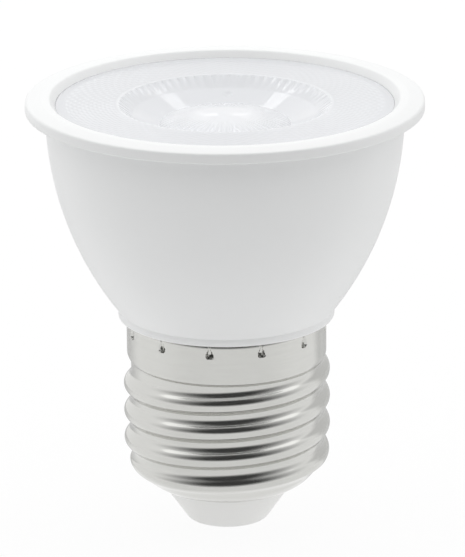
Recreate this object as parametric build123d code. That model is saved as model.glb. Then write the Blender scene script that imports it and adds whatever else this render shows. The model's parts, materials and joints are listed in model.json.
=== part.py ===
# LED spotlight bulb with an E27 screw cap. Sizes are in millimetres.
# It is drawn with the cap down: the centre contact ends on Z = 0 and the light leaves towards +Z.
import os
from math import atan, cos, degrees, hypot, radians, sin, sqrt
from build123d import *

os.makedirs("parts", exist_ok=True)

# Heights along the axis, from the contact upwards
contact_proud = 0.4
insulator_height = 4.65
cone_height = 3.45
thread_height = 13.8
skirt_height = 5.2
body_height = 28.3

# Screw cap, E27 Edison thread
thread_diameter = 26.2
thread_depth = 0.95
thread_pitch = 25.4 / 7
ridge_share = 0.76
skirt_step = 0.5
shell_sheet = 0.25
shell_mouth_diameter = 17.0
cone_bulge = 0.35
insulator_tip_diameter = 10.4
contact_diameter = 6.4
contact_shank_diameter = 2.2
plug_height = 2.0
pin_proud = 0.5
tip_round = 0.6
punch_count = 12
punch_diameter = 1.3
punch_depth = 0.55
punch_drop = 1.1
punch_phase = -99.8

# Body
rim_diameter = 50.0
rim_width = 3.7
rim_overhang = 2.5
rim_edge = 1.35
rim_crown = 0.25
rim_land = 1.7
foot_step = 0.85
foot_height = 0.55
body_wall = 1.8
neck_wall = 1.25
neck_lift = 1.6

# Lens
lens_recess = 0.62
lens_flange = 1.8
pit_diameter = 26.6
pit_floor_diameter = 15.2
pit_depth = 2.7
dome_height = 1.55
collimator_diameter = 31.2
collimator_belly = 0.9
collimator_foot_width = 1.2
pocket_height = 4.2
pocket_taper = 0.5
pocket_bulge = 1.2
pocket_gap = 0.4

# Heat sink and light source
cup_sheet = 1.0
cup_depth = 10.3
led_board_thickness = 1.2
pad_thickness = 0.3
dam_diameter = 10.4
dam_width = 0.6
dam_height = 0.6
screw_diameter = 2.5
screw_head_diameter = 3.8
screw_head_height = 1.4
screw_length = 3.4
screw_slot = 0.5
screw_gap = 2.1
screw_edge = 2.4
wire_diameter = 0.9
wire_hole_diameter = 3.6
wire_hole_edge = 3.0

# Driver
board_side_gap = 0.78
board_height = 26.0
board_thickness = 1.2
board_stop = 1.6
rail_width = 1.0
rail_grip = 1.1
input_can_diameter = 8.0
input_can_length = 12.0
input_can_pitch = 3.5
input_can_level = 1.2
output_can_diameter = 6.3
output_can_length = 8.6
output_can_pitch = 2.5
can_groove = 0.35
can_lead_drop = 1.4
choke_diameter = 8.4
choke_post_diameter = 4.0
choke_flange = 1.2
choke_coil_length = 4.4
choke_coil_inset = 0.5
choke_edge = 1.4
choke_drop = 1.6
bridge_width = 4.0
bridge_length = 4.7
bridge_height = 2.4
bridge_pitch = 2.5
bridge_level = 4.6
chip_width = 3.9
chip_length = 4.9
chip_height = 1.5
chip_pitch = 1.27
chip_level = 12.0
leg_sheet = 0.2
leg_width = 0.5
leg_knee = 0.4
leg_reach = 1.1
resistor_width = 1.26
resistor_length = 2.0
resistor_height = 0.55
resistor_edge = 2.6
resistor_level = 9.8
resistor_columns = 3
resistor_column_pitch = 2.2
resistor_rows = 2
resistor_row_pitch = 3.0
fuse_diameter = 2.6
fuse_length = 5.8
fuse_lead_reach = 1.0
fuse_level = 4.6
varistor_diameter = 6.8
varistor_thickness = 3.0
varistor_pitch = 2.5
varistor_drop = 0.4
varistor_lead_drop = 1.4
component_lead = 0.6
bare_wire_diameter = 0.5
neutral_gap = 2.05
neutral_climb = 3.6
neutral_turn = 245.0

# Clearances
slip = 0.05
fit = 0.1

# Levels
z_tip = contact_proud
z_mouth = z_tip + insulator_height
z_core = z_mouth + cone_height
z_skirt = z_core + thread_height
z_body = z_skirt + skirt_height
z_foot = z_body + foot_height
z_edge = z_body + body_height
z_front = z_edge + rim_crown
z_under = z_edge - rim_edge
z_glass = z_edge - lens_recess
z_seat = z_glass - lens_flange
z_ledge = z_seat - cup_sheet
z_floor = z_seat - cup_depth
z_cup = z_floor - cup_sheet
z_pad = z_floor + pad_thickness
z_led = z_pad + led_board_thickness
z_neck = z_core + neck_lift
z_board = z_neck + board_stop
z_board_top = z_board + board_height

# Radii
thread_r = thread_diameter / 2
root_r = thread_r - thread_depth
skirt_r = root_r + skirt_step
foot_r = skirt_r + foot_step
mouth_r = shell_mouth_diameter / 2
rim_r = rim_diameter / 2
window_r = rim_r - rim_width
body_r = rim_r - rim_overhang
collar_r = skirt_r - shell_sheet - slip
neck_r = root_r - shell_sheet - 3 * slip
bore_r = neck_r - neck_wall
wire_r = wire_diameter / 2
bare_r = bare_wire_diameter / 2
lead_r = component_lead / 2

# The lens stands around the dam, and the LED board's screws stand around the lens
pocket_r = dam_diameter / 2 + pocket_gap
collimator_foot_r = pocket_r + collimator_foot_width
screw_circle_r = collimator_foot_r + screw_gap + screw_head_diameter / 2
led_board_r = screw_circle_r + screw_edge
wire_hole_offset = led_board_r - wire_hole_edge

# The body's side is one arc: upright under the rim, and through the top of the foot
arc_drop = body_r - foot_r
arc_run = z_under - z_foot
arc_r = (arc_drop**2 + arc_run**2) / (2 * arc_drop)
z_throat = z_under - sqrt((arc_r - body_wall) ** 2 - (bore_r - body_r + arc_r) ** 2)

# The cone of the shell is a shallow arc from its mouth to the core
cone_chord = hypot(root_r - mouth_r, cone_height)
cone_arc_r = cone_chord**2 / (8 * cone_bulge) + cone_bulge / 2
cone_back = (cone_arc_r - cone_bulge) / cone_chord
cone_r = (root_r + mouth_r) / 2 - cone_back * cone_height
cone_z = (z_core + z_mouth) / 2 + cone_back * (root_r - mouth_r)

# The driver board stands in the bore of the neck, held by rails along its edges
y_face = board_thickness / 2
y_back = -board_thickness / 2
board_half = sqrt(bore_r**2 - y_face**2) - board_side_gap
rail_x = board_half - rail_grip

# The bare lead lies in a groove outside the neck, under the sheet of the shell
neutral_angle = radians(neutral_turn)
neutral_r = neck_r + 2 * slip - bare_r


def body_radius(z, inset=0.0):
    return body_r - arc_r + sqrt((arc_r - inset) ** 2 - (z_under - z) ** 2)


def body_arc(z_from, z_to, inset=0.0):
    z_mid = (z_from + z_to) / 2
    start = (body_radius(z_from, inset), z_from)
    middle = (body_radius(z_mid, inset), z_mid)
    end = (body_radius(z_to, inset), z_to)
    return ThreePointArc(start, middle, end)


def cone_radius(z, inset=0.0):
    return cone_r + sqrt((cone_arc_r - inset) ** 2 - (z - cone_z) ** 2)


def cone_arc(z_from, z_to, inset=0.0):
    z_mid = (z_from + z_to) / 2
    start = (cone_radius(z_from, inset), z_from)
    middle = (cone_radius(z_mid, inset), z_mid)
    end = (cone_radius(z_to, inset), z_to)
    return ThreePointArc(start, middle, end)


def outline(*pieces):
    edges = []
    for piece in pieces:
        edges.extend(piece.edges())
    return make_face(edges)


def rounded(face, corner, radius):
    return fillet(face.vertices().sort_by_distance(Vector(*corner))[0], radius)


def turned(face):
    return revolve(Plane.XZ * face, Axis.Z)


def disc(radius, z_low, z_high, x=0.0, y=0.0):
    return Pos(x, y, z_low) * Cylinder(radius, z_high - z_low, align=(Align.CENTER, Align.CENTER, Align.MIN))


def block(x_low, x_high, y_low, y_high, z_low, z_high):
    corner = Pos(x_low, y_low, z_low)
    return corner * Box(x_high - x_low, y_high - y_low, z_high - z_low, align=Align.MIN)


def wire(points, radii, radius):
    path = FilletPolyline(*points, radius=radii)
    section = Plane(origin=path @ 0, z_dir=path % 0) * Circle(radius)
    return sweep(section, path=path)


def around(piece, count, phase=0.0):
    return [Rot(0, 0, phase + 360 * step / count) * piece for step in range(count)]


def joined(first, pieces):
    whole = first
    for piece in pieces:
        whole = whole + piece
    return whole


def cut(first, pieces):
    whole = first
    for piece in pieces:
        whole = whole - piece
    return whole


# Screw cap

def ridge_section(inset):
    # rounded ridge in (radius, height), its foot buried in the sheet of the core
    half = ridge_share * thread_pitch / 2 - inset
    foot = root_r - inset - 0.6 * shell_sheet
    crown = ThreePointArc((foot, -half), (thread_r - inset, 0), (foot, half))
    return Plane.XZ * outline(crown, Line((foot, half), (foot, -half)))


def ridge_fade(inset, turns, drop):
    # end of the ridge: it climbs on while it sinks into the core
    rise = turns * thread_pitch
    lean = atan(drop / rise)
    path = Helix(thread_pitch / cos(lean), rise, root_r, cone_angle=-degrees(lean))
    return sweep(ridge_section(inset), path=path, is_frenet=True)


def ridge(inset):
    # right-hand ridge from the cone up to the skirt
    z_low = z_core + thread_pitch / 4
    z_high = z_skirt - 0.28 * thread_pitch
    turns = (z_high - z_low) / thread_pitch
    path = Helix(thread_pitch, z_high - z_low, root_r)
    main = sweep(ridge_section(inset), path=path, is_frenet=True)
    low = Pos(0, 0, z_low)
    high = Pos(0, 0, z_high) * Rot(0, 0, 360 * turns)
    top_end = high * ridge_fade(inset, 0.22, 1.2 * thread_depth)
    low_end = low * Rot(180, 0, 0) * ridge_fade(inset, 0.5, 1.8 * thread_depth)
    return [low * main, top_end, low_end]


def shell_form(inset, z_high):
    # skirt, core and cone of the shell, closed by flat ends
    core = root_r - inset
    z_bend = cone_z - sqrt((cone_arc_r - inset) ** 2 - (core - cone_r) ** 2)
    upper = Polyline(
        (core, z_bend),
        (core, z_skirt),
        (skirt_r - inset, z_skirt + skirt_step),
        (skirt_r - inset, z_high),
        (0, z_high),
        (0, z_mouth),
        (cone_radius(z_mouth, inset), z_mouth),
    )
    return turned(outline(upper, cone_arc(z_mouth, z_bend, inset)))


def punch(radius, depth):
    # cone that points at the axis from the skirt's outer face
    cone = Cone(radius, 0.05, depth, align=(Align.CENTER, Align.CENTER, Align.MIN))
    return Pos(skirt_r, 0, z_body - punch_drop) * Rot(0, -90, 0) * cone


def make_screw_shell():
    z_high = z_body - slip
    form = joined(shell_form(0.0, z_high), ridge(0.0))
    form = form - joined(shell_form(shell_sheet, z_high), ridge(shell_sheet))
    dent = punch(punch_diameter / 2, punch_depth)
    dimple = punch(punch_diameter / 2 + shell_sheet, punch_depth + shell_sheet)
    form = joined(form, around(dimple, punch_count, punch_phase))
    return cut(form, around(dent, punch_count, punch_phase))


def make_base_insulator():
    tip_r = insulator_tip_diameter / 2
    pin_r = contact_shank_diameter / 2 + slip
    gap = shell_sheet + slip
    z_low = z_mouth - slip
    z_high = z_mouth + plug_height
    below = Polyline(
        (cone_radius(z_high, gap), z_high),
        (pin_r, z_high),
        (pin_r, z_tip),
        (tip_r, z_tip),
        (mouth_r, z_low),
        (cone_radius(z_mouth, gap), z_low),
        (cone_radius(z_mouth, gap), z_mouth),
    )
    face = outline(below, cone_arc(z_mouth, z_high, gap))
    face = rounded(face, (tip_r, z_tip), tip_round)
    pocket = disc(contact_diameter / 2 + slip, 0, z_tip + contact_proud)
    return turned(face) - pocket


def make_contact_pin():
    head = disc(contact_diameter / 2, 0, z_tip + contact_proud)
    head = fillet(head.edges().group_by(Axis.Z)[0], contact_proud / 2)
    return head + disc(contact_shank_diameter / 2, 0, z_mouth + plug_height + pin_proud)


# Body

def make_housing():
    z_collar = z_skirt + 2 * skirt_step
    land_r = window_r + rim_land
    low = Polyline(
        (bore_r, z_throat),
        (bore_r, z_neck),
        (neck_r, z_neck),
        (neck_r, z_collar),
        (collar_r, z_collar),
        (collar_r, z_body),
        (foot_r, z_body),
        (foot_r, z_foot),
    )
    high = Polyline(
        (body_r, z_under),
        (rim_r, z_under),
        (rim_r, z_edge),
        (land_r, z_front),
        (window_r, z_front),
        (window_r, z_ledge),
        (body_radius(z_ledge, body_wall), z_ledge),
    )
    side = body_arc(z_foot, z_under)
    inside = body_arc(z_ledge, z_throat, body_wall)
    face = outline(low, side, high, inside)
    face = rounded(face, (foot_r, z_body), foot_height / 2)
    face = rounded(face, (rim_r, z_edge), rim_edge / 3)
    face = rounded(face, (rim_r, z_under), rim_edge / 5)
    form = joined(turned(face), board_rails())
    pit = punch(punch_diameter / 2 + shell_sheet + fit, punch_depth + shell_sheet + fit)
    form = cut(form, around(pit, punch_count, punch_phase))
    return form - neutral_groove()


def board_rails():
    # a pair of rails and a stop on each side of the neck hold the driver board by its edges
    core = disc(bore_r + neck_wall / 2, z_neck, z_throat - fit)
    gap = y_face + fit
    far = bore_r + neck_wall
    stop = block(rail_x, far, -gap, gap, z_neck, z_board)
    front = block(rail_x, far, gap, gap + rail_width, z_neck, z_throat - fit)
    back = block(rail_x, far, -gap - rail_width, -gap, z_neck, z_throat - fit)
    side = (stop + front + back) & core
    return [side, Rot(0, 0, 180) * side]


# Lens and light source

def make_lens():
    lens_r = window_r - fit
    z_foot_lens = z_led + dam_height / 2
    z_pit = z_glass - pit_depth
    z_pocket = z_foot_lens + pocket_height
    pocket_top_r = pocket_r - pocket_taper
    z_bulge = z_pocket - pocket_bulge
    floor_r = pit_floor_diameter / 2
    dome = ThreePointArc((-floor_r, z_pit), (0, z_pit + dome_height), (floor_r, z_pit)).trim(0.5, 1)
    top = Polyline(
        (floor_r, z_pit),
        (pit_diameter / 2, z_glass),
        (lens_r, z_glass),
        (lens_r, z_seat),
        (collimator_diameter / 2, z_seat),
    )
    flank_start = (collimator_diameter / 2, z_seat)
    flank_end = (collimator_foot_r, z_foot_lens)
    flank = SagittaArc(flank_start, flank_end, -collimator_belly)
    bottom = Polyline(flank_end, (pocket_r, z_foot_lens), (pocket_top_r, z_pocket))
    bulge = ThreePointArc((pocket_top_r, z_pocket), (0, z_bulge), (-pocket_top_r, z_pocket)).trim(0, 0.5)
    axis = Line((0, z_bulge), (0, z_pit + dome_height))
    face = outline(dome, top, flank, bottom, bulge, axis)
    return turned(face)


def make_heat_sink():
    out = body_wall + fit
    inn = out + cup_sheet
    flange_r = window_r - fit
    flange = Polyline(
        (body_radius(z_ledge, out), z_ledge),
        (flange_r, z_ledge),
        (flange_r, z_seat),
        (body_radius(z_seat, inn), z_seat),
    )
    floor = Polyline((body_radius(z_floor, inn), z_floor), (0, z_floor), (0, z_cup), (body_radius(z_cup, out), z_cup))
    face = outline(flange, body_arc(z_seat, z_floor, inn), floor, body_arc(z_cup, z_ledge, out))
    face = rounded(face, (body_radius(z_cup, out), z_cup), 2 * cup_sheet)
    face = rounded(face, (body_radius(z_floor, inn), z_floor), cup_sheet)
    cup = turned(face)
    for x in (-screw_circle_r, screw_circle_r):
        cup = cup - disc(screw_diameter / 2 + slip, z_cup, z_floor, x)
    return cup - disc(wire_hole_diameter / 2, z_cup, z_floor, 0, wire_hole_offset)


def led_plate(z_low, z_high):
    plate = disc(led_board_r, z_low, z_high)
    for x in (-screw_circle_r, screw_circle_r):
        plate = plate - disc(screw_diameter / 2 + fit, z_low, z_high, x)
    notch = disc(wire_hole_diameter / 2 + wire_r, z_low, z_high, 0, wire_hole_offset)
    opening = led_board_r + wire_r
    mouth_half = wire_hole_diameter / 2
    return plate - notch - block(-mouth_half, mouth_half, wire_hole_offset, opening, z_low, z_high)


def make_led_dam():
    outer = disc(dam_diameter / 2, z_led, z_led + dam_height)
    return outer - disc(dam_diameter / 2 - dam_width, z_led, z_led + dam_height)


def make_led_phosphor():
    return disc(dam_diameter / 2 - dam_width, z_led, z_led + 0.8 * dam_height)


def make_board_screws():
    head = disc(screw_head_diameter / 2, z_led, z_led + screw_head_height)
    head = fillet(head.edges().group_by(Axis.Z)[-1], screw_head_height / 3)
    arm = screw_head_diameter * 0.3
    half = screw_slot / 2
    slot = block(-arm, arm, -half, half, z_led + screw_head_height / 2, z_led + screw_head_height)
    head = head - slot - Rot(0, 0, 90) * slot
    screw = head + disc(screw_diameter / 2, z_led - screw_length, z_led)
    return [Pos(x, 0, 0) * screw for x in (-screw_circle_r, screw_circle_r)]


def make_led_wire(side):
    # from the driver board up through the heat sink, then along the LED board to its pad
    x_start = board_half / 2 + side * 1.6 * wire_diameter
    x_hole = side * 0.85 * wire_diameter
    z_start = z_board_top - 3 * wire_diameter
    z_lie = z_led + wire_r + slip
    points = [
        (x_start, y_face, z_start),
        (x_start, y_face + 2.4, z_start),
        (x_hole, wire_hole_offset, z_cup - 1.8),
        (x_hole, wire_hole_offset, z_lie),
        (side * (wire_hole_diameter / 2 + 2.4), wire_hole_offset - 2.0, z_lie),
    ]
    return wire(points, [1.2, 1.2, wire_diameter], wire_r)


# Driver

def make_driver_board():
    return block(-board_half, board_half, y_back, y_face, z_board, z_board_top)


def make_can(diameter, length, lead_gap):
    # electrolytic can standing on its rubber end, with the leads turned towards the board in +Y
    r = diameter / 2
    points = [
        (0, 0),
        (r - can_groove, 0),
        (r, can_groove),
        (r, 3.5 * can_groove),
        (r - can_groove, 4.5 * can_groove),
        (r - can_groove, 5.5 * can_groove),
        (r, 6.5 * can_groove),
        (r, length - can_groove),
        (r - can_groove, length),
        (0, length),
    ]
    can = turned(outline(Polyline(*points, close=True)))
    reach = r + slip
    for x in (-lead_gap / 2, lead_gap / 2):
        points = [(x, 0, can_groove / 2), (x, 0, -can_lead_drop), (x, reach, -can_lead_drop)]
        can = can + wire(points, [1.3 * component_lead], lead_r)
    return can


def make_input_capacitor():
    can = make_can(input_can_diameter, input_can_length, input_can_pitch)
    y = y_back - slip - input_can_diameter / 2
    z_low = z_board + input_can_level
    return Pos(0, y, z_low + input_can_length) * Rot(0, 180, 0) * can


def make_output_capacitor():
    can = make_can(output_can_diameter, output_can_length, output_can_pitch)
    y = y_back - slip - output_can_diameter / 2
    return Pos(board_half / 2, y, z_board_top - output_can_length) * can


def make_choke_place():
    x = -board_half + choke_diameter / 2 + choke_edge
    z = z_board_top - choke_diameter / 2 - choke_drop
    return Pos(x, y_face, z) * Rot(-90, 0, 0)


def make_inductor_core():
    length = 2 * choke_flange + choke_coil_length
    post = disc(choke_post_diameter / 2, 0, length)
    low = disc(choke_diameter / 2, 0, choke_flange)
    high = disc(choke_diameter / 2, length - choke_flange, length)
    return make_choke_place() * (post + low + high)


def make_inductor_winding():
    z_low = choke_flange
    z_high = choke_flange + choke_coil_length
    coil = disc(choke_diameter / 2 - choke_coil_inset, z_low, z_high)
    return make_choke_place() * (coil - disc(choke_post_diameter / 2, z_low, z_high))


def chip_package(width, length, height, pins, pitch):
    # moulded body on the board's face with bent legs on both long sides, in (x, z) about its middle
    body = block(-width / 2, width / 2, fit, height, -length / 2, length / 2)
    inner = width / 2 - leg_sheet / 2
    knee = width / 2 + leg_knee
    toe = width / 2 + leg_reach
    y_low = (height - leg_sheet) / 2
    y_high = (height + leg_sheet) / 2
    half = leg_width / 2
    leg = block(inner, knee, y_low, y_high, -half, half)
    leg = leg + block(knee - leg_sheet, knee, 0, y_high, -half, half)
    leg = leg + block(knee - leg_sheet, toe, 0, leg_sheet, -half, half)
    legs = []
    for pin in range(pins):
        place = Pos(0, 0, (pin - (pins - 1) / 2) * pitch)
        legs.append(place * leg)
        legs.append(place * mirror(leg, Plane.YZ))
    return joined(body, legs)


def make_bridge_rectifier():
    package = chip_package(bridge_width, bridge_length, bridge_height, 2, bridge_pitch)
    return Pos(-board_half / 2, y_face, z_board + bridge_level) * package


def make_driver_chip():
    package = chip_package(chip_width, chip_length, chip_height, 4, chip_pitch)
    return Pos(board_half / 2, y_face, z_board + chip_level) * package


def make_chip_resistors():
    half_x = resistor_width / 2
    half_z = resistor_length / 2
    chip = block(-half_x, half_x, 0, resistor_height, -half_z, half_z)
    chips = []
    for row in range(resistor_rows):
        z = z_board + resistor_level + resistor_row_pitch * row
        for column in range(resistor_columns):
            x = -board_half + resistor_edge + resistor_column_pitch * column
            chips.append(Pos(x, y_face, z) * chip)
    return chips


def make_fuse_resistor():
    # it lies across the board, its outer lead just inside the rail
    r = fuse_diameter / 2
    half = fuse_length / 2
    reach = half + fuse_lead_reach
    y = y_face + slip + r
    z = z_board + fuse_level
    x = rail_x - fit - lead_r - reach
    body = Pos(x, y, z) * Rot(0, 90, 0) * Cylinder(r, fuse_length)
    body = fillet(body.edges(), 0.3 * r)
    for side in (-1, 1):
        points = [(x + side * (half - lead_r), y, z), (x + side * reach, y, z), (x + side * reach, y_face, z)]
        body = body + wire(points, [1.2 * component_lead], lead_r)
    return body


def make_varistor():
    r = varistor_diameter / 2
    z = z_board_top - r - varistor_drop
    z_foot_lead = z - r - varistor_lead_drop
    y = y_back - slip - varistor_thickness / 2
    body = Pos(-board_half / 2, y, z) * Rot(90, 0, 0) * Cylinder(r, varistor_thickness)
    body = fillet(body.edges(), 0.3 * varistor_thickness)
    for side in (-1, 1):
        x = -board_half / 2 + side * varistor_pitch / 2
        points = [(x, y, z - 0.7 * r), (x, y, z_foot_lead), (x, y_back, z_foot_lead)]
        body = body + wire(points, [1.3 * component_lead], lead_r)
    return body


def make_live_lead():
    # from the lower end of the driver board to the top of the contact pin
    x = 2.9 * wire_diameter
    y = y_face + 2.2 * wire_diameter
    z_pin = z_mouth + plug_height + pin_proud
    points = [
        (x, y_face, z_board + 2 * wire_diameter),
        (x, y, z_board + 2 * wire_diameter),
        (x, y, z_board - 1.6 * wire_diameter),
        (0, 0, z_pin + 2 * wire_diameter),
        (0, 0, z_pin),
    ]
    return wire(points, [wire_diameter, wire_diameter, wire_diameter], wire_r)


def neutral_groove():
    half = bare_r + fit
    reach = block(neutral_r - half, neck_r + fit, -half, half, z_neck, z_neck + neutral_climb + fit)
    return Rot(0, 0, neutral_turn) * reach


def make_neutral_lead():
    # from the driver board, under the neck and up its outside, where the shell presses on it
    x = -input_can_diameter / 2 - neutral_gap - bare_r
    z_start = z_board + 4.4 * bare_wire_diameter
    z_low = z_neck - bare_r - 2 * fit
    inner = bore_r - 4.8 * bare_wire_diameter
    c = cos(neutral_angle)
    s = sin(neutral_angle)
    points = [
        (x, y_back, z_start),
        (x, y_back - 3.2 * bare_wire_diameter, z_start),
        (inner * c, inner * s, z_low),
        (neutral_r * c, neutral_r * s, z_low),
        (neutral_r * c, neutral_r * s, z_neck + neutral_climb),
    ]
    return wire(points, [3.2 * bare_r, 3.2 * bare_r, 2.4 * bare_r], bare_r)


nodes = {
    "housing": make_housing(),
    "lens": make_lens(),
    "heat_sink": make_heat_sink(),
    "thermal_pad": led_plate(z_floor, z_pad),
    "led_board": led_plate(z_pad, z_led),
    "led_dam": make_led_dam(),
    "led_phosphor": make_led_phosphor(),
    "board_screws": make_board_screws(),
    "led_wire_positive": make_led_wire(1),
    "led_wire_negative": make_led_wire(-1),
    "driver_board": make_driver_board(),
    "input_capacitor": make_input_capacitor(),
    "output_capacitor": make_output_capacitor(),
    "inductor_core": make_inductor_core(),
    "inductor_winding": make_inductor_winding(),
    "bridge_rectifier": make_bridge_rectifier(),
    "driver_chip": make_driver_chip(),
    "chip_resistors": make_chip_resistors(),
    "fuse_resistor": make_fuse_resistor(),
    "varistor": make_varistor(),
    "live_lead": make_live_lead(),
    "neutral_lead": make_neutral_lead(),
    "screw_shell": make_screw_shell(),
    "base_insulator": make_base_insulator(),
    "contact_pin": make_contact_pin(),
}

for name, shape in nodes.items():
    if isinstance(shape, list):
        shape = Compound(children=shape)
    export_step(shape, f"parts/{name}.step")
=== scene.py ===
import json
import math
import bpy
import numpy as np
from mathutils import Matrix, Vector


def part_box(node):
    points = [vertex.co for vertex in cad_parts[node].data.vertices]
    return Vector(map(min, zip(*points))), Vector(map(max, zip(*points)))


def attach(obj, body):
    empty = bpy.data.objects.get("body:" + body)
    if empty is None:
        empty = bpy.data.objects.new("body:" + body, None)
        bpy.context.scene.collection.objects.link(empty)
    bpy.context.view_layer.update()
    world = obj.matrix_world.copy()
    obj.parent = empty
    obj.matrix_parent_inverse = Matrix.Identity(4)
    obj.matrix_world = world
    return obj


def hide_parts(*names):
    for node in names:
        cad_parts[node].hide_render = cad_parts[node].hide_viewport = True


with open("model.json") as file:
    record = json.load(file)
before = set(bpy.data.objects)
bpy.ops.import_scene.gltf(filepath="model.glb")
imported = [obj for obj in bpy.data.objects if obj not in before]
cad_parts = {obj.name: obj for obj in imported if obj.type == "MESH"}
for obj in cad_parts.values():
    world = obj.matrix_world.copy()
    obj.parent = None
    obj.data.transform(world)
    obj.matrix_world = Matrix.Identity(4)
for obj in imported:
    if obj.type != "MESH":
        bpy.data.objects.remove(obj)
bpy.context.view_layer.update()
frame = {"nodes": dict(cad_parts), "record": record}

cadNodes = frame["nodes"]
mm = 0.001  # shapes below are worked out in millimetres
print("frame loaded with", len(cadNodes), "nodes")


def reach(node):  # radius, lowest and highest level of a round node, in mm
    low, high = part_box(node)
    return high.x / mm, low.z / mm, high.z / mm


rimRadius, neckZ, frontZ = reach("housing")
threadRadius, mouthZ, shellTopZ = reach("screw_shell")
lensRadius, lensFootZ, lensZ = reach("lens")
pinRadius, pinZ, pinTopZ = reach("contact_pin")
tipZ, plugZ = reach("base_insulator")[1:]


# helpers for surfaces

def smoothStep(x, low, high):  # 0 below low, 1 above high, a smooth S between
    t = np.clip((x - low) / (high - low), 0.0, 1.0)
    return t * t * (3.0 - 2.0 * t)


def fallStep(x, low, high):  # the same S turned over: 1 below low, 0 above high
    return 1.0 - smoothStep(x, low, high)


def arcHeight(radius, away):  # half chord of a circle at a distance from its centre
    return np.sqrt(np.maximum(radius ** 2 - away ** 2, 0.0))


def evenAngles(count):
    return np.arange(count) * (2.0 * np.pi / count)


def roundedPath(corners, radii, steps=6, longest=0.45, nearest=1e-4):
    # every corner of an open line becomes a parabola that touches both of its runs; it takes no more than
    # the longest share of a run, and points nearer to each other than nearest become one
    corners = np.asarray(corners, float)
    radii = np.asarray(radii, float)
    back = corners[:-2] - corners[1:-1]
    ahead = corners[2:] - corners[1:-1]
    backLength = np.linalg.norm(back, axis=1)
    aheadLength = np.linalg.norm(ahead, axis=1)
    back = back / backLength[:, None]
    ahead = ahead / aheadLength[:, None]
    inner = np.arccos(np.clip((back * ahead).sum(1), -1.0, 1.0))
    limit = longest * np.minimum(backLength, aheadLength)
    cut = np.minimum(radii / np.tan(inner / 2), limit)[:, None]
    t = np.linspace(0.0, 1.0, steps + 1)[None, :, None]
    start = (corners[1:-1] + back * cut)[:, None]
    end = (corners[1:-1] + ahead * cut)[:, None]
    curve = (1 - t) ** 2 * start + 2 * t * (1 - t) * corners[1:-1, None] + t ** 2 * end
    path = np.vstack((corners[:1], curve.reshape(-1, 2), corners[-1:]))
    apart = np.linalg.norm(np.diff(path, axis=0), axis=1) > nearest
    return path[np.r_[True, apart]]


def subdivided(path, step):
    # runs longer than step are cut into equal parts
    runs = np.linalg.norm(np.diff(path, axis=0), axis=1)
    count = np.maximum(1, np.ceil(runs / step).astype(int))
    which = np.repeat(np.arange(len(count)), count)
    part = np.arange(count.sum()) - np.repeat(np.cumsum(count) - count, count)
    share = (part / count[which])[:, None]
    return np.vstack((path[which] + (path[which + 1] - path[which]) * share, path[-1:]))


def around(radius, height, angles):
    # rows of (radius, height) carried around the Z axis
    radius, height = np.broadcast_arrays(radius, height)
    return np.stack((radius * np.cos(angles), radius * np.sin(angles), height), -1)


def turned(path, angles):  # one profile for all angles
    return around(path[:, :1], path[:, 1:] + 0.0 * angles, angles)


def skin(grid, ring=False, firstPole=None, lastPole=None):
    # quads between the rows of a grid that closes on itself sideways; poles are heights on the axis
    rows, columns = grid.shape[:2]
    index = np.arange(rows * columns).reshape(rows, columns)
    lower = index if ring else index[:-1]
    upper = np.roll(index, -1, 0) if ring else index[1:]
    quads = np.stack((lower, np.roll(lower, -1, 1), np.roll(upper, -1, 1), upper), -1).reshape(-1, 4)
    points = grid.reshape(-1, 3)
    fans = []
    for height, row, order in ((firstPole, index[0], 1), (lastPole, index[-1], -1)):
        if height is not None:
            pole = np.full(columns, len(points))
            points = np.vstack((points, (0.0, 0.0, height)))
            fans.append(np.stack((pole, np.roll(row, -1), row)[::order], -1))
    tris = np.vstack(fans) if fans else np.zeros((0, 3), int)
    return outward(points, quads, tris)


def outward(points, quads, tris):
    # a closed surface whose signed volume is negative is turned round
    flat = np.vstack((quads[:, :3], quads[:, [0, 2, 3]], tris))
    a, b, c = points[flat[:, 0]], points[flat[:, 1]], points[flat[:, 2]]
    if np.einsum("ij,ij->", a, np.cross(b, c)) < 0:
        quads = quads[:, ::-1]
        tris = tris[:, ::-1]
    return points, quads, tris


def blocks(lows, highs):
    # closed boxes between lists of low and high corners
    lows = np.asarray(lows, float)[:, None]
    highs = np.asarray(highs, float)[:, None]
    pick = np.array([(x, y, z) for z in (0, 1) for y in (0, 1) for x in (0, 1)])
    points = (lows + (highs - lows) * pick).reshape(-1, 3)
    sides = np.array([(0, 2, 3, 1), (4, 5, 7, 6), (0, 1, 5, 4), (2, 6, 7, 3), (0, 4, 6, 2), (1, 3, 7, 5)])
    quads = (sides[None] + len(pick) * np.arange(len(lows))[:, None, None]).reshape(-1, 4)
    return points, quads, np.zeros((0, 3), int)


def meshObject(name, points, faces, material):
    mesh = bpy.data.meshes.new(name)
    mesh.from_pydata(points, [], faces)
    mesh.materials.append(material)
    made = bpy.data.objects.new(name, mesh)
    bpy.context.collection.objects.link(made)
    return made


def makePiece(name, parts, node, material, sharp=40.0):
    # closed surfaces become one mesh object that stands for its node; edges over the sharp angle stay crisp
    points, faces, start = [], [], 0
    for corners, quads, tris in parts:
        points.append(corners * mm)
        faces += (quads + start).tolist() + (tris + start).tolist()
        start += len(corners)
    piece = meshObject(name, np.vstack(points).tolist(), faces, material)
    piece.data.shade_smooth()
    piece.data.set_sharp_from_angle(angle=math.radians(sharp))
    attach(piece, "root")
    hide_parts(node)
    print("piece", name, "has", sum(len(face) - 2 for face in faces), "triangles")
    return piece


# finishes

grainLook = dict(
    cloudDetail=3.0, speckDetail=4.0, speckScale=9.0,  # specks are finer than clouds by this factor
    speckShare=0.35, middle=0.675)  # mean of the clouds with that share of specks
plainFinish = dict(  # what a finish has where its own values don't say
    drift=0.08, scale=400.0, stretch=(1.0, 1.0, 1.0), spread=0.1,
    bump=0.05, bumpDepth=0.02, metallic=0.0, ior=1.5, clear=0.0)


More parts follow.
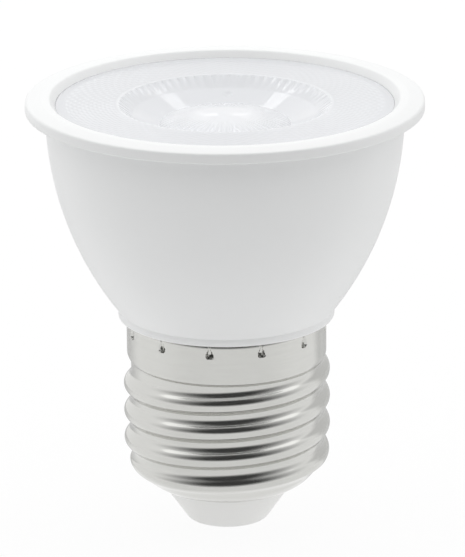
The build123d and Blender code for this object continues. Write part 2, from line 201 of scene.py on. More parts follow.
def maths(tree, operation, *terms):
    # a maths node whose terms are sockets or numbers
    node = tree.nodes.new("ShaderNodeMath")
    node.operation = operation
    for socket, term in zip(node.inputs, terms):
        if isinstance(term, bpy.types.NodeSocket):
            tree.links.new(term, socket)
        else:
            socket.default_value = term
    return node.outputs[0]


def grainGroup(look):
    # soft clouds and fine specks: a colour that drifts, a roughness that varies and a height for bump
    group = bpy.data.node_groups.new("surfaceGrain", "ShaderNodeTree")
    for way, kind, names in (("INPUT", "Vector", ("Vector",)),
                             ("INPUT", "Color", ("Tone",)),
                             ("INPUT", "Float", ("Drift", "Scale", "Roughness", "Spread")),
                             ("OUTPUT", "Color", ("Color",)),
                             ("OUTPUT", "Float", ("Roughness", "Height"))):
        for name in names:
            group.interface.new_socket(name, in_out=way, socket_type="NodeSocket" + kind)
    link = group.links.new
    source = group.nodes.new("NodeGroupInput").outputs
    target = group.nodes.new("NodeGroupOutput").inputs

    def noise(scale, detail):
        node = group.nodes.new("ShaderNodeTexNoise")
        node.inputs["Detail"].default_value = detail
        link(source["Vector"], node.inputs["Vector"])
        link(scale, node.inputs["Scale"])
        return node.outputs[0]

    clouds = noise(source["Scale"], look["cloudDetail"])
    specks = noise(maths(group, "MULTIPLY", source["Scale"], look["speckScale"]), look["speckDetail"])
    both = maths(group, "MULTIPLY_ADD", specks, look["speckShare"], clouds)
    about = maths(group, "SUBTRACT", both, look["middle"])  # mostly clouds, some specks, about zero
    swing = maths(group, "MULTIPLY_ADD", about, source["Drift"], 1.0)
    rough = maths(group, "MULTIPLY_ADD", about, source["Spread"], source["Roughness"])
    rough.node.use_clamp = True
    shade = group.nodes.new("ShaderNodeVectorMath")
    shade.operation = "SCALE"
    link(source["Tone"], shade.inputs[0])
    link(swing, shade.inputs["Scale"])
    link(shade.outputs[0], target["Color"])
    link(rough, target["Roughness"])
    link(specks, target["Height"])
    return group


surfaceGrain = grainGroup(grainLook)


def paintedPitHighlight(tree, place, look):
    # the tone turns into another one away from the Z axis, between two radii; on the lens the paler tone
    # inside paints a bright highlight along the pit's edge
    tone, low, high = look["pitHighlightTone"]
    flat = tree.nodes.new("ShaderNodeVectorMath")
    flat.operation = "MULTIPLY"
    flat.inputs[1].default_value = (1.0, 1.0, 0.0)
    away = tree.nodes.new("ShaderNodeVectorMath")
    away.operation = "LENGTH"
    share = tree.nodes.new("ShaderNodeMapRange")
    share.inputs["From Min"].default_value = low * mm
    share.inputs["From Max"].default_value = high * mm
    mix = tree.nodes.new("ShaderNodeMix")
    mix.data_type = "RGBA"
    mix.inputs["A"].default_value = (*look["tone"], 1.0)
    mix.inputs["B"].default_value = (*tone, 1.0)
    tree.links.new(place, flat.inputs[0])
    tree.links.new(flat.outputs["Vector"], away.inputs[0])
    tree.links.new(away.outputs["Value"], share.inputs["Value"])
    tree.links.new(share.outputs["Result"], mix.inputs["Factor"])
    return mix.outputs["Result"]


def finish(name, values):
    # a principled surface whose colour, roughness and bump come from the grain
    look = {**plainFinish, **values}
    material = bpy.data.materials.new(name)
    material.use_nodes = True
    tree = material.node_tree
    link = tree.links.new
    shader = tree.nodes["Principled BSDF"].inputs
    place = tree.nodes.new("ShaderNodeTexCoord").outputs["Object"]
    mapping = tree.nodes.new("ShaderNodeMapping")
    mapping.inputs["Scale"].default_value = look["stretch"]
    link(place, mapping.inputs["Vector"])
    grain = tree.nodes.new("ShaderNodeGroup")
    grain.node_tree = surfaceGrain
    link(mapping.outputs["Vector"], grain.inputs["Vector"])
    grain.inputs["Tone"].default_value = (*look["tone"], 1.0)
    for socket in ("Drift", "Scale", "Roughness", "Spread"):
        grain.inputs[socket].default_value = look[socket.lower()]
    # a second tone away from the axis: on the lens it leaves a painted highlight along the pit's edge
    if "pitHighlightTone" in look:
        link(paintedPitHighlight(tree, place, look), grain.inputs["Tone"])
    link(grain.outputs["Color"], shader["Base Color"])
    link(grain.outputs["Roughness"], shader["Roughness"])
    bump = tree.nodes.new("ShaderNodeBump")
    bump.inputs["Strength"].default_value = look["bump"]
    bump.inputs["Distance"].default_value = look["bumpDepth"] * mm
    link(grain.outputs["Height"], bump.inputs["Height"])
    link(bump.outputs["Normal"], shader["Normal"])
    shader["Metallic"].default_value = look["metallic"]
    shader["IOR"].default_value = look["ior"]
    shader["Transmission Weight"].default_value = look["clear"]
    return material


# camera, at the angle of the photograph

cameraLook = dict(
    rimDrop=0.25,  # the rim's edge lies this far under the front, mm
    distance=625.0, elevation=15.76,  # from the rim's centre, mm and degrees
    aimDown=17.83, aimSide=-0.0764, roll=-0.39,  # degrees
    focalPixels=5001.0, frameHeight=557, sensor=36.0,
    clip=(0.05, 50.0))  # metres


def makeCamera(look):
    data = bpy.data.cameras.new("photoCamera")
    data.sensor_width = look["sensor"]
    data.lens = look["sensor"] * look["focalPixels"] / look["frameHeight"]
    data.clip_start, data.clip_end = look["clip"]
    camera = bpy.data.objects.new("photoCamera", data)
    bpy.context.collection.objects.link(camera)
    lift = math.radians(look["elevation"])
    offset = Vector((0.0, -math.cos(lift), math.sin(lift))) * look["distance"]
    spot = (offset + Vector((0.0, 0.0, frontZ - look["rimDrop"]))) * mm
    turn = Matrix.Rotation(math.radians(look["aimSide"]), 4, "Z")
    turn = turn @ Matrix.Rotation(math.radians(90.0 - look["aimDown"]), 4, "X")
    turn = turn @ Matrix.Rotation(math.radians(look["roll"]), 4, "Z")
    camera.matrix_world = Matrix.Translation(spot) @ turn
    bpy.context.scene.camera = camera


makeCamera(cameraLook)
print("camera set")


# screw shell: formed sheet with a rolled thread, a rounded skirt and a row of punch marks

shellLook = dict(
    pitch=25.4 / 7, depth=0.95, firstCrest=9.407,  # level of the first crest on the +X side
    fadeIn=(4.6, 10.6), fadeOut=(21.2, 22.1),  # crest levels between which the ridge rises and sinks
    coneHeight=3.45, mouthRadius=8.5, coneBulge=0.5,
    skirtStep=0.5, skirtBend=22.9, skirtArc=1.6, skirtShare=0.8,  # share of its arc that is kept
    sheet=0.25, steepest=2.0,  # the sheet's thickness follows slopes up to this one
    topGap=0.06,  # the edge stays this far under the body
    lipArc=1.1, lipTurn=(2.0, 34.0), lipRows=10, lipEdge=0.05,  # the edge draws in on an arc, mm and degrees
    markCount=12, markPhase=-99.8, markTop=27.1, markHeight=1.55, markWidth=0.86, markDepth=0.55,
    markFloor=0.45, markSlope=0.8,  # level share of the width, power by which the depth grows
    markCrowd=0.7, columns=336, rows=206, innerRows=42,
    finish=dict(tone=(0.64, 0.64, 0.617), drift=0.08, scale=260.0, stretch=(1.0, 1.0, 14.0),
                roughness=0.13, spread=0.08, bump=0.02, bumpDepth=0.005, metallic=1.0))
rootRadius = threadRadius - shellLook["depth"]
skirtRadius = rootRadius + shellLook["skirtStep"]
coreZ = mouthZ + shellLook["coneHeight"]


def markAngles(look):
    # columns crowd together at the punch marks: an even turn less a sine wave of one period per mark
    even = evenAngles(look["columns"])
    phase = math.radians(look["markPhase"])
    return even - look["markCrowd"] / look["markCount"] * np.sin(look["markCount"] * (even - phase))


def markDent(look, angles, levels, margin=0.0):
    # a teardrop: its half width grows from a point and closes in a round foot, its depth grows downwards
    step = 2.0 * np.pi / look["markCount"]
    away = (angles - math.radians(look["markPhase"]) + step / 2) % step - step / 2
    side = np.abs(away) * skirtRadius
    down = (look["markTop"] + margin - levels) / (look["markHeight"] + 2 * margin)
    inside = np.clip(down, 0.0, 1.0)
    half = look["markWidth"] * inside * np.sqrt(1.0 - inside ** 4) + margin
    wall = fallStep(side / np.maximum(half, 1e-6), look["markFloor"], 1.0)
    dent = look["markDepth"] * inside ** look["markSlope"] * wall
    return np.where((down > 0) & (down < 1), dent, 0.0)


def coneRadius(look, z, inset=0.0):
    # arc through the mouth and the foot of the core, with the given bulge
    rise, run = look["coneHeight"], rootRadius - look["mouthRadius"]
    chord = math.hypot(run, rise)
    radius = chord ** 2 / (8 * look["coneBulge"]) + look["coneBulge"] / 2
    lean = (radius - look["coneBulge"]) / chord
    centreR = (rootRadius + look["mouthRadius"]) / 2 - lean * rise
    centreZ = mouthZ + rise / 2 + lean * run
    return centreR + arcHeight(radius - inset, z - centreZ)


def shellRadius(look, angles, z):
    # the thread is a wave of equal arcs that climbs one pitch each turn; the skirt covers its upper end
    pitch, depth = look["pitch"], look["depth"]
    turn = (z - look["firstCrest"]) / pitch - angles / (2 * np.pi)
    crest = np.round(turn)
    away = np.abs(turn - crest) * pitch
    arc = pitch ** 2 / (16 * depth) + depth / 4
    top = depth - arc + arcHeight(arc, away)
    root = arc - arcHeight(arc, pitch / 2 - away)
    wave = np.where(away < pitch / 4, top, root)
    crestZ = look["firstCrest"] + (crest + angles / (2 * np.pi)) * pitch
    wave = wave * smoothStep(crestZ, *look["fadeIn"]) * fallStep(crestZ, *look["fadeOut"])
    core = np.where(z < coreZ, coneRadius(look, np.minimum(z, coreZ)), rootRadius)
    sag = np.maximum(look["skirtBend"] - z, 0.0)
    skirt = skirtRadius - look["skirtArc"] + arcHeight(look["skirtArc"], sag)
    skirt = np.where(sag < look["skirtShare"] * look["skirtArc"], skirt, 0.0)
    return np.maximum(core + wave, skirt) - markDent(look, angles, z)


def makeShell(look):
    # the outer face goes up to the lip, the inner face comes down again one sheet further in
    angles = markAngles(look)
    bend = np.radians(np.linspace(*look["lipTurn"], look["lipRows"]))[:, None]
    lipFootZ = shellTopZ - look["topGap"] - look["lipArc"] * math.sin(bend[-1, 0])
    z = np.linspace(mouthZ, lipFootZ, look["rows"])[:, None]
    outer = shellRadius(look, angles, z)
    slope = np.gradient(outer, z[:, 0], axis=0)
    inner = outer - look["sheet"] * np.sqrt(1.0 + np.minimum(slope, look["steepest"]) ** 2)
    pick = np.linspace(look["rows"] - 1, 0, look["innerRows"]).astype(int)
    lip = outer[-1] - look["lipArc"] * (1.0 - np.cos(bend))
    lipZ = lipFootZ + look["lipArc"] * np.sin(bend)
    radius = np.vstack((outer, lip, lip[-1:] - look["lipEdge"], inner[pick]))
    level = np.vstack((z, lipZ, lipZ[-1:], z[pick])) + 0.0 * angles
    makePiece("screwShell", [skin(around(radius, level, angles), ring=True)],
              "screw_shell", finish("brightNickel", look["finish"]))


makeShell(shellLook)


# body: one white moulding with a flat rim, a bowl on a single arc and a neck inside the cap

bodyLook = dict(
    rimWidth=3.7, rimOverhang=2.5, rimEdge=1.35, rimCrown=0.25, rimLand=1.7, rimDraft=0.65,
    rimRounds=(0.2, 0.28, 0.42, 1.2, 0.45),  # hollow under the rim, its two edges, crown and window edge
    footStep=1.03, footHeight=0.95, footLip=0.5, footCrease=0.07,
    footRounds=(0.42, 0.25, 0.3),  # edges of the foot and the crease over it
    bodyHeight=28.3, wall=1.8, arcSteps=48, arcCrowd=1.5,  # the arc's rows crowd towards the foot
    ledgeDrop=3.67, lensGap=0.03, lensRise=0.02,  # around the lens and over it
    neckWall=1.25, neckGap=0.4, neckRound=0.1,
    collarGap=0.3, collarLap=0.1,  # inside the skirt, and how far below its bend it starts
    rowStep=0.9, markStep=0.3, markBand=0.02,  # rows are finer this near to the collar, where marks press in
    railGrip=1.1, railReach=9.7, railGap=0.7, railWidth=1.0, stopHeight=1.6,
    railFoot=0.02, railTop=0.1,  # short of the neck's end and of the throat
    finish=dict(tone=(0.868, 0.875, 0.875), drift=0.03, scale=90.0,
                roughness=0.34, spread=0.08, bump=0.10, bumpDepth=0.02))


def makeBody(look):
    # a closed profile carried around the axis: throat, neck, collar, foot, bowl, rim, lens seat and inside
    edgeZ = frontZ - look["rimCrown"]
    underZ = edgeZ - look["rimEdge"]
    bodyZ = edgeZ - look["bodyHeight"]
    footZ = bodyZ + look["footHeight"]
    ledgeZ = frontZ - look["ledgeDrop"]
    collarZ = shellLook["skirtBend"] - look["collarLap"]
    bodyRadius = rimRadius - look["rimOverhang"]
    windowRadius = rimRadius - look["rimWidth"]
    seatRadius = lensRadius + look["lensGap"]
    footRadius = skirtRadius + look["footStep"]
    creaseRadius = footRadius - look["footCrease"]
    collarRadius = skirtRadius - look["collarGap"]
    neckRadius = rootRadius - look["neckGap"]
    boreRadius = neckRadius - look["neckWall"]
    drop, run = bodyRadius - creaseRadius, underZ - footZ
    arc = (drop ** 2 + run ** 2) / (2 * drop)  # upright under the rim, down into the crease over the foot
    throatZ = underZ - arcHeight(arc - look["wall"], boreRadius - bodyRadius + arc)

    def side(z, inset):
        return bodyRadius - arc + arcHeight(arc - inset, underZ - z)

    outZ = footZ + run * np.linspace(0.0, 1.0, look["arcSteps"]) ** look["arcCrowd"]
    inZ = np.linspace(ledgeZ, throatZ, look["arcSteps"])
    bowl = np.stack((side(outZ, 0.0), outZ), -1)
    inside = np.stack((side(inZ, look["wall"]), inZ), -1)
    low = [(boreRadius, neckZ), (neckRadius, neckZ), (neckRadius, collarZ), (collarRadius, collarZ),
           (collarRadius, bodyZ), (footRadius, bodyZ), (footRadius, bodyZ + look["footLip"])]
    high = [(rimRadius, underZ), (rimRadius, edgeZ),
            (windowRadius + look["rimLand"], frontZ), (windowRadius + look["rimDraft"], frontZ),
            (seatRadius, lensZ + look["lensRise"]), (seatRadius, ledgeZ)]
    corners = np.vstack((inside[-2:], low, bowl, high, inside[:-1]))
    firstBowl = 2 + len(low)
    firstHigh = firstBowl + len(bowl)
    radii = np.zeros(len(corners) - 2)  # the first one is for the second corner
    radii[1:firstBowl - 3] = look["neckRound"]
    radii[firstBowl - 3:firstBowl] = look["footRounds"]
    radii[firstHigh - 2:firstHigh + 3] = look["rimRounds"]
    path = roundedPath(corners, radii)
    nearMarks = np.abs(path[:-1, 0] - collarRadius) < look["markBand"]
    path = subdivided(path, np.where(nearMarks, look["markStep"], look["rowStep"]))[:-1]
    angles = markAngles(shellLook)
    radius = path[:, :1] + 0.0 * angles
    level = path[:, 1:] + 0.0 * angles
    onCollar = (np.abs(radius - collarRadius) < look["markBand"]) & (level > collarZ)
    dent = markDent(shellLook, angles, level, shellLook["sheet"])
    radius = radius - np.where(onCollar, dent, 0.0)

    # guide rails of the driver board and the stop between them, on both sides of the neck
    far = boreRadius + look["neckWall"] / 3
    near = look["railReach"] - look["railGrip"]
    gap, wide = look["railGap"], look["railGap"] + look["railWidth"]
    railZ, railTopZ = neckZ + look["railFoot"], throatZ - look["railTop"]
    lows = [(near, gap, railZ), (near, -wide, railZ), (near, -gap, railZ)]
    highs = [(far, wide, railTopZ), (far, -gap, railTopZ), (far, gap, neckZ + look["stopHeight"])]
    lows += [(-far, y, z) for x, y, z in lows]
    highs += [(-near, y, z) for x, y, z in highs]
    makePiece("whiteBody", [skin(around(radius, level, angles), ring=True), blocks(lows, highs)],
              "housing", finish("whitePlastic", look["finish"]))


makeBody(bodyLook)


# lens: clear moulding with rings of small lenses, a scalloped pit and a fluted dome

lensLook = dict(
    pitRadius=13.3, pitWall=1.75, wallDrop=1.3, pitFloorRadius=8.3, pitDepth=2.73,
    sectors=72, scallop=0.14, scallopMiddle=0.5,
    domeBase=2.98, domeHeight=1.7, blend=0.12, blendReach=0.3,  # between the dome and the cone
    domeFlute=0.1, domeFlutes=60, fluteMiddle=0.6,
    fluteFrom=(0.3, 0.9),  # shares of the dome's radius between which the flutes deepen
    gateSpot=(0.4, 10.3), gateRadius=0.6, gateFloor=0.4, gateDepth=0.14,
    lensletFrom=13.9, lensletTo=20.0, lensletRings=12, lensletHeight=0.022,
    flange=1.8, collimatorRadius=15.6, collimatorBelly=0.9, footRadius=6.8,
    pocketRadius=5.6, pocketHeight=4.2, pocketTaper=0.5, pocketBulge=1.2,
    edgeBevel=0.04, seatBevel=0.1, seatLand=0.2, edgeRounds=(0.03, 0.05, 0.05), footBevel=0.05,
    # rows of the front: where a set starts and ends, off its own two radii, and how many it has
    domeRows=(0.05, 1.5, 30), domeFoot=0.02,  # on a sine, in radians
    coneRows=(0.15, -0.05, 22), wallRows=(0.03, -0.3, 8), edgeRows=(-0.2, 0.2, 7),
    ringRows=5, ringGap=0.15, borderRows=(0.15, -0.2, 5),
    # rows of the back
    edgeStep=0.7, flankRows=26, pocketStep=0.35, pocketRows=14, poleGap=0.3,
    columns=432, sharp=28.0,
    finish=dict(tone=(0.955, 0.967, 0.992), drift=0.02, scale=120.0, roughness=0.03, spread=0.03,
                bump=0.02, bumpDepth=0.004, ior=1.49, clear=0.22,
                pitHighlightTone=((0.82, 0.832, 0.858), 13.35, 13.75)))  # darker tone outside the pit's edge, and radii where it comes in; the paler tone inside paints a highlight line along that edge


def lensFront(look, r, angles):
    # heights of the front: flat border, rings of small domes, a scalloped wall, a shallower cone with
    # the moulding's gate mark, and the top of a fluted ellipsoid that runs into it
    edge = look["pitRadius"] - look["pitWall"]
    arch = np.abs(np.cos(angles * look["sectors"] / 2)) - look["scallopMiddle"]  # one arch per sector
    notch = look["scallop"] * arch * smoothStep(r, edge, look["pitRadius"])
    wall = lensZ - (look["pitRadius"] - r) * look["wallDrop"] / look["pitWall"] + notch
    slope = (look["pitDepth"] - look["wallDrop"]) / (edge - look["pitFloorRadius"])
    cone = lensZ - look["wallDrop"] - (edge - r) * slope
    gateX, gateY = look["gateSpot"]
    away = np.hypot(r * np.cos(angles) - gateX, r * np.sin(angles) - gateY)
    gateFloor = look["gateFloor"] * look["gateRadius"]
    cone = cone - look["gateDepth"] * fallStep(away, gateFloor, look["gateRadius"])
    part = np.clip(r / look["pitFloorRadius"], 0.0, 1.0)
    flute = np.abs(np.cos(angles * look["domeFlutes"] / 2)) - look["fluteMiddle"]
    flute = look["domeFlute"] * flute * smoothStep(part, *look["fluteFrom"])
    cap = lensZ - look["domeBase"] + look["domeHeight"] * np.sqrt(1.0 - part ** 2) + flute
    floor = (cone + cap + np.hypot(cone - cap, look["blend"])) / 2  # the higher of the two, blended
    floor = np.where(r < look["pitFloorRadius"] + look["blendReach"], floor, cone)
    pit = np.where(r > edge, np.minimum(wall, lensZ), floor)
    ring = (r - look["lensletFrom"]) / (look["lensletTo"] - look["lensletFrom"]) * look["lensletRings"]
    inRing = 2.0 * (ring - np.floor(ring)) - 1.0
    sector = angles * look["sectors"] / (2 * np.pi) + 0.5 * (np.floor(ring) % 2)  # every other ring shifts
    inSector = 2.0 * (sector - np.floor(sector)) - 1.0
    domes = look["lensletHeight"] * (1.0 - inRing ** 2) * (1.0 - inSector ** 2)
    onRings = (ring > 0) & (ring < look["lensletRings"])
    return pit + np.where(onRings, domes - look["lensletHeight"], 0.0)


def makeLens(look):
    # the front's rows from its pole outwards, then edge, flange, collimator flank and LED pocket to a pole
    angles = evenAngles(look["columns"])
    floorRadius, pitRadius = look["pitFloorRadius"], look["pitRadius"]
    wallRadius = pitRadius - look["pitWall"]
    ringFrom, ringTo = look["lensletFrom"], look["lensletTo"]
    seatZ = lensZ - look["flange"]
    pocketZ = lensFootZ + look["pocketHeight"]
    pocketTop = look["pocketRadius"] - look["pocketTaper"]

    def rows(low, high, name):
        start, end, count = look[name]
        return np.linspace(low + start, high + end, count)

    r = np.concatenate((
        floorRadius * np.sin(np.linspace(*look["domeRows"])), [floorRadius + look["domeFoot"]],
        rows(floorRadius, wallRadius, "coneRows"),
        rows(wallRadius, pitRadius, "wallRows"),
        rows(pitRadius, pitRadius, "edgeRows"), [ringFrom - look["ringGap"]],
        np.linspace(ringFrom, ringTo, look["ringRows"] * look["lensletRings"] + 1),
        rows(ringTo, lensRadius, "borderRows")))[:, None]
    front = around(r + 0.0 * angles, lensFront(look, r, angles), angles)
    edge = roundedPath([(lensRadius - look["edgeBevel"], lensZ), (lensRadius, lensZ - look["edgeBevel"]),
                        (lensRadius, seatZ + look["seatBevel"]), (lensRadius - look["seatBevel"], seatZ),
                        (look["collimatorRadius"] + look["seatLand"], seatZ)], look["edgeRounds"])
    t = np.linspace(0.0, 1.0, look["flankRows"])[:, None]
    start = np.array([look["collimatorRadius"], seatZ])
    chord = np.array([look["footRadius"], lensFootZ]) - start
    bow = np.array([-chord[1], chord[0]]) / np.linalg.norm(chord) * look["collimatorBelly"]
    flank = start + chord * t - bow * 4.0 * t * (1.0 - t)  # shallow parabola that bellies outwards
    sink = np.linspace(pocketTop, look["poleGap"], look["pocketRows"])[:, None]
    bulge = np.hstack((sink, pocketZ - look["pocketBulge"] * (1.0 - (sink / pocketTop) ** 2)))
    pocket = np.array([(look["pocketRadius"] + look["footBevel"], lensFootZ),
                       (look["pocketRadius"], lensFootZ + look["footBevel"]), bulge[0]])
    back = np.vstack((subdivided(edge, look["edgeStep"]), flank,
                      subdivided(pocket, look["pocketStep"]), bulge[1:]))
    grid = np.vstack((front, turned(back, angles)))
    domeZ = lensZ - look["domeBase"] + look["domeHeight"]
    piece = makePiece("clearLens", [skin(grid, firstPole=domeZ, lastPole=pocketZ - look["pocketBulge"])],
                      "lens", finish("clearAcrylic", look["finish"]), look["sharp"])
    piece.visible_shadow = False  # daylight reaches the inside of the lamp through it


makeLens(lensLook)


# end of the cap: white insulator and the contact rivet in it

insulatorLook = dict(
    slip=0.05,  # around the rivet
    seamGap=0.02, seamStep=0.22,  # below the shell's mouth and inside it
    plugGap=0.3, plugRows=8, plugLand=(2.0, 1.9),
    tipRadius=5.05, tipRound=0.7, wellRound=0.15, edgeRound=0.05,
    rowStep=0.4, columns=192,
    finish=dict(tone=(0.775, 0.775, 0.76), drift=0.03, scale=150.0, roughness=0.38, spread=0.1, bump=0.08))
rivetLook = dict(
    shankRadius=1.1, headHeight=0.8, rounds=(0.2, 0.1, 0.1, 0.15),  # head, shoulder, neck and end
    poleGap=0.4, rowStep=0.35, columns=128,
    finish=dict(tone=(0.72, 0.68, 0.58), drift=0.18, scale=700.0, roughness=0.28, spread=0.2,
                bump=0.12, metallic=1.0))


def makeInsulator(look):
    # a closed profile carried around the axis: rivet hole, well, tip, step at the seam and plug in the cone
    hole = rivetLook["shankRadius"] + look["slip"]
    well = pinRadius + look["slip"]
    headZ = rivetLook["headHeight"]
    seamZ = mouthZ - look["seamGap"]
    z = np.linspace(mouthZ, plugZ, look["plugRows"])
    plug = np.stack((coneRadius(shellLook, z, look["plugGap"]), z), -1)
    below = [(hole, plugZ), (hole, headZ), (well, headZ), (well, tipZ), (look["tipRadius"], tipZ),
             (shellLook["mouthRadius"] - look["seamStep"], seamZ), (plug[0, 0], seamZ)]
    first, last = [[(plug[-1, 0] - land, plugZ)] for land in look["plugLand"]]
    corners = np.vstack((first, below, plug, last))
    radii = np.full(len(corners) - 2, look["edgeRound"])
    radii[3:5] = (look["wellRound"], look["tipRound"])
    path = subdivided(roundedPath(corners, radii), look["rowStep"])
    makePiece("capInsulator", [skin(turned(path, evenAngles(look["columns"])), ring=True)],
              "base_insulator", finish("whiteInsulator", look["finish"]))


def makeRivet(look):
    # a profile from pole to pole: head, shoulder and shank
    shank, headZ = look["shankRadius"], look["headHeight"]
    corners = [(look["poleGap"], pinZ), (pinRadius, pinZ), (pinRadius, headZ), (shank, headZ),
               (shank, pinTopZ), (look["poleGap"], pinTopZ)]
    path = subdivided(roundedPath(corners, look["rounds"]), look["rowStep"])
    grid = turned(path, evenAngles(look["columns"]))
    makePiece("contactRivet", [skin(grid, firstPole=pinZ, lastPole=pinTopZ)],
              "contact_pin", finish("tinnedContact", look["finish"]))


makeInsulator(insulatorLook)
makeRivet(rivetLook)


# the pieces inside keep their solids and get finishes of their own

innerFinishes = dict(
    sink_aluminium=dict(tone=(0.93, 0.935, 0.94), drift=0.06, scale=300.0, stretch=(1.0, 1.0, 4.0),
                        roughness=0.72, spread=0.2, bump=0.08, metallic=1.0),
    grey_pad=dict(tone=(0.42, 0.44, 0.47), roughness=0.8, drift=0.2, scale=900.0, bump=0.3),
    white_board=dict(tone=(0.86, 0.86, 0.85), roughness=0.38, drift=0.05, scale=500.0),
    white_dam=dict(tone=(0.88, 0.88, 0.86), roughness=0.5, drift=0.05, scale=900.0),
    yellow_phosphor=dict(tone=(0.86, 0.66, 0.14), roughness=0.3, drift=0.25, scale=1500.0, bump=0.2),
    screw_steel=dict(tone=(0.62, 0.62, 0.63), roughness=0.3, drift=0.2, scale=1200.0,
                     metallic=1.0, bump=0.15),
    red_wire=dict(tone=(0.5, 0.03, 0.025), roughness=0.4, drift=0.15, scale=900.0),
    black_wire=dict(tone=(0.025, 0.025, 0.028), roughness=0.4, drift=0.3, scale=900.0),
    white_wire=dict(tone=(0.8, 0.8, 0.78), roughness=0.4, drift=0.08, scale=900.0),
    tinned_copper=dict(tone=(0.7, 0.69, 0.67), roughness=0.25, drift=0.2, scale=1500.0, metallic=1.0),
    board_laminate=dict(tone=(0.05, 0.2, 0.075), roughness=0.35, drift=0.35, scale=350.0, bump=0.25),
    capacitor_sleeve=dict(tone=(0.02, 0.025, 0.04), roughness=0.3, drift=0.3, scale=500.0),
    ferrite=dict(tone=(0.05, 0.05, 0.055), roughness=0.6, drift=0.4, scale=1600.0, bump=0.4),
    copper_winding=dict(tone=(0.62, 0.26, 0.1), roughness=0.25, drift=0.5, scale=120.0,
                        stretch=(1.0, 40.0, 1.0), metallic=1.0, bump=0.6, bumpDepth=0.08),
    chip_moulding=dict(tone=(0.03, 0.03, 0.032), roughness=0.55, drift=0.3, scale=2200.0, bump=0.3),
    chip_ceramic=dict(tone=(0.08, 0.075, 0.07), roughness=0.35, drift=0.3, scale=1800.0),
    resistor_coat=dict(tone=(0.12, 0.22, 0.12), roughness=0.45, drift=0.25, scale=900.0, bump=0.25),
    blue_epoxy=dict(tone=(0.02, 0.07, 0.3), roughness=0.3, drift=0.2, scale=500.0, bump=0.15))
shownPieces = ("screw_shell", "housing", "lens", "base_insulator", "contact_pin")


def dressInside():
    made = {slot: finish(slot, look) for slot, look in innerFinishes.items()}
    for row in frame["record"]["subparts"]:
        if row["node"] not in shownPieces:
            cadNodes[row["node"]].material_slots[0].material = made[row["material_slot"]]
    print("inside dressed with", len(made), "finishes")


dressInside()


# stage: pale floor, a dark screen around the camera, soft boxes and an even sky

stageLook = dict(
    matte=0.9,  # roughness of floor and screen
    floorTone=0.92, floorLift=0.92, floorGlow=0.93, floorHalf=6.0,  # metres
    screenAway=0.45, screenZ=0.02, screenLift=0.001, screenFlat=0.001,  # metres, and the least sine
    screenTurn=(-180.0, 180.0, 145), screenRise=(-60.0, 88.0, 75),  # degrees seen from the lamp, and points
    screenTone=0.06, screenWide=56.0, screenMiddle=25.0, screenUp=58.0, screenDown=20.0,
    screenFade=(0.45, 2.0),  # in half widths and heights from its middle
    screenVeil=0.75, veilSide=(50.0, 100.0), veilFoot=(-12.0, 0.0), veilTop=(20.0, 45.0),
    backShade=0.4, backFrom=(110.0, 150.0),  # on the floor, seen in reflections
    frontShade=0.1, frontTo=(35.0, 85.0), groundTop=(-12.0, -2.0),
    sideShade=0.3, sideFrom=(109.0, 125.0), sideTo=(160.0, 180.0), sideTop=(35.0, 70.0),  # to the right
    skyLevel=1.09, skyShown=1.0,
    boxes=((0.34, 0.15, 0.72, 0.45, 0.45, 0.24),  # x, y, z, wide, high, watts, one on each side
           (0.25, 0.56, 0.71, 0.12, 0.12, 0.08),
           (0.47, 0.38, 0.73, 0.1, 0.12, 0.11),
           (0.05, 0.9, 0.35, 0.07, 0.05, 0.006)),
    boxAim=0.03)  # level that the boxes face


def seenRays(tree):
    # 1 for rays that show the background: straight from the camera, off metal and through glass
    path = tree.nodes.new("ShaderNodeLightPath").outputs
    first = maths(tree, "MAXIMUM", path["Is Camera Ray"], path["Is Glossy Ray"])
    return maths(tree, "MAXIMUM", first, path["Is Transmission Ray"])


def matteSurface(name, tone, roughness):
    material = bpy.data.materials.new(name)
    material.use_nodes = True
    tree = material.node_tree
    shader = tree.nodes["Principled BSDF"]
    shader.inputs["Base Color"].default_value = (tone, tone, tone, 1.0)
    shader.inputs["Roughness"].default_value = roughness
    return material, tree, shader


def mixSurface(tree, share, first, second):  # the first shader where share is 0, the second where it is 1
    mix = tree.nodes.new("ShaderNodeMixShader")
    for socket, source in zip(mix.inputs, (share, first.outputs[0], second.outputs[0])):
        tree.links.new(source, socket)
    tree.links.new(mix.outputs[0], tree.nodes["Material Output"].inputs["Surface"])


def stageSheet(name, points, faces, material):
    sheet = meshObject(name, points, faces, material)
    return sheet


def makeFloor(look):
    material, tree, shader = matteSurface("paleFloor", look["floorTone"], look["matte"])
    lift = tree.nodes.new("ShaderNodeMapRange")  # seen white, and lit from below like a light table
    lift.inputs["To Min"].default_value = look["floorGlow"]
    lift.inputs["To Max"].default_value = look["floorLift"]
    tree.links.new(seenRays(tree), lift.inputs["Value"])
    mixSurface(tree, lift.outputs["Result"], shader, tree.nodes.new("ShaderNodeEmission"))
    half = look["floorHalf"]
    corners = [(-half, -half, 0), (half, -half, 0), (half, half, 0), (-half, half, 0)]
    stageSheet("floor", corners, [(0, 1, 2, 3)], material)


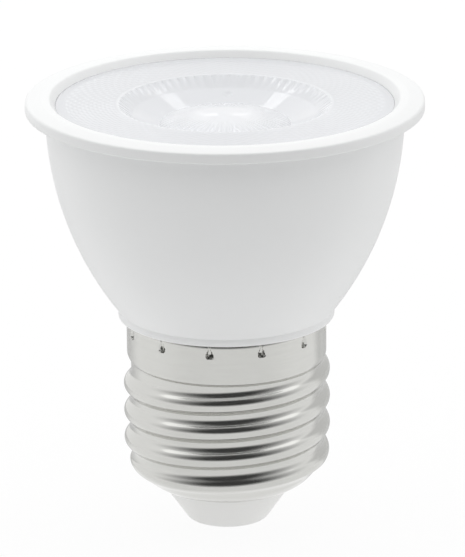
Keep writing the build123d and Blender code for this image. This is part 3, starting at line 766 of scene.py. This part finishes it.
def makeScreen(look):
    # a sphere around the lamp, laid on the floor below; its darkness towards the camera fades out with the
    # distance from the middle, measured in half widths, and paler parts lie on the floor and to the right
    material, tree, cloth = matteSurface("darkScreen", look["screenTone"], look["matte"])
    path = tree.nodes.new("ShaderNodeLightPath")
    dark = tree.nodes.new("ShaderNodeMapRange")  # reflections show it dark, light comes partly through
    tree.links.new(path.outputs["Is Glossy Ray"], dark.inputs["Value"])
    for name, socket in (("veil", "To Min"), ("shade", "To Max")):
        held = tree.nodes.new("ShaderNodeAttribute")
        held.attribute_name = name
        tree.links.new(held.outputs["Fac"], dark.inputs[socket])
    mixSurface(tree, dark.outputs["Result"], tree.nodes.new("ShaderNodeBsdfTransparent"), cloth)

    turn = np.linspace(*look["screenTurn"])[None, :]
    rise = np.linspace(*look["screenRise"])[:, None]
    aside = np.abs(turn)
    half = np.where(rise > look["screenMiddle"], look["screenUp"], look["screenDown"])
    middle = np.hypot(turn / look["screenWide"], (rise - look["screenMiddle"]) / half)
    ground = look["backShade"] * smoothStep(aside, *look["backFrom"])
    ground = ground + look["frontShade"] * fallStep(aside, *look["frontTo"])
    ground = ground * fallStep(rise, *look["groundTop"])
    side = look["sideShade"] * smoothStep(turn, *look["sideFrom"]) * fallStep(turn, *look["sideTo"])
    side = side * fallStep(rise, *look["sideTop"])
    shown = np.maximum(np.maximum(fallStep(middle, *look["screenFade"]), ground), side)
    veiled = smoothStep(rise, *look["veilFoot"]) * fallStep(rise, *look["veilTop"])
    veiled = look["screenVeil"] * veiled * fallStep(aside, *look["veilSide"])

    turn, rise = np.radians(turn - 90.0), np.radians(rise)  # a turn of 0 lies towards the camera, at -Y
    down = np.maximum(np.sin(-rise), look["screenFlat"])
    away = np.minimum(look["screenAway"], (look["screenZ"] - look["screenLift"]) / down)
    level = look["screenZ"] + away * np.sin(rise)
    points = around(away * np.cos(rise) + 0.0 * turn, level + 0.0 * turn, turn)
    index = np.arange(shown.size).reshape(shown.shape)
    faces = np.stack((index[:-1, :-1], index[:-1, 1:], index[1:, 1:], index[1:, :-1]), -1).reshape(-1, 4)
    screen = stageSheet("cameraScreen", points.reshape(-1, 3).tolist(), faces.tolist(), material)
    for name, values in (("shade", shown), ("veil", veiled)):
        held = screen.data.attributes.new(name, "FLOAT", "POINT")
        held.data.foreach_set("value", values.ravel().astype(np.float32))
    screen.visible_camera = False


def softBox(place, wide, high, watts, aimZ):
    data = bpy.data.lights.new("softBox", "AREA")
    data.shape = "RECTANGLE"
    data.size = wide
    data.size_y = high
    data.energy = watts
    lamp = bpy.data.objects.new("softBox", data)
    bpy.context.collection.objects.link(lamp)
    lamp.location = place
    aim = Vector((0, 0, aimZ)) - lamp.location
    lamp.rotation_euler = aim.to_track_quat("-Z", "Y").to_euler()
    lamp.visible_camera = False


def makeLights(look):
    for x, y, z, wide, high, watts in look["boxes"]:
        for hand in (-1, 1):
            softBox((hand * x, y, z), wide, high, watts, look["boxAim"])
    world = bpy.data.worlds.new("evenSky")
    bpy.context.scene.world = world
    world.use_nodes = True
    tree = world.node_tree
    sky = tree.nodes["Background"]
    sky.inputs["Color"].default_value = (1.0, 1.0, 1.0, 1.0)
    level = tree.nodes.new("ShaderNodeMapRange")
    level.inputs["To Min"].default_value = look["skyLevel"]
    level.inputs["To Max"].default_value = look["skyShown"]
    tree.links.new(seenRays(tree), level.inputs["Value"])
    tree.links.new(level.outputs["Result"], sky.inputs["Strength"])


makeFloor(stageLook)
makeScreen(stageLook)
makeLights(stageLook)
bpy.context.scene.view_settings.view_transform = "Standard"
print("stage set")
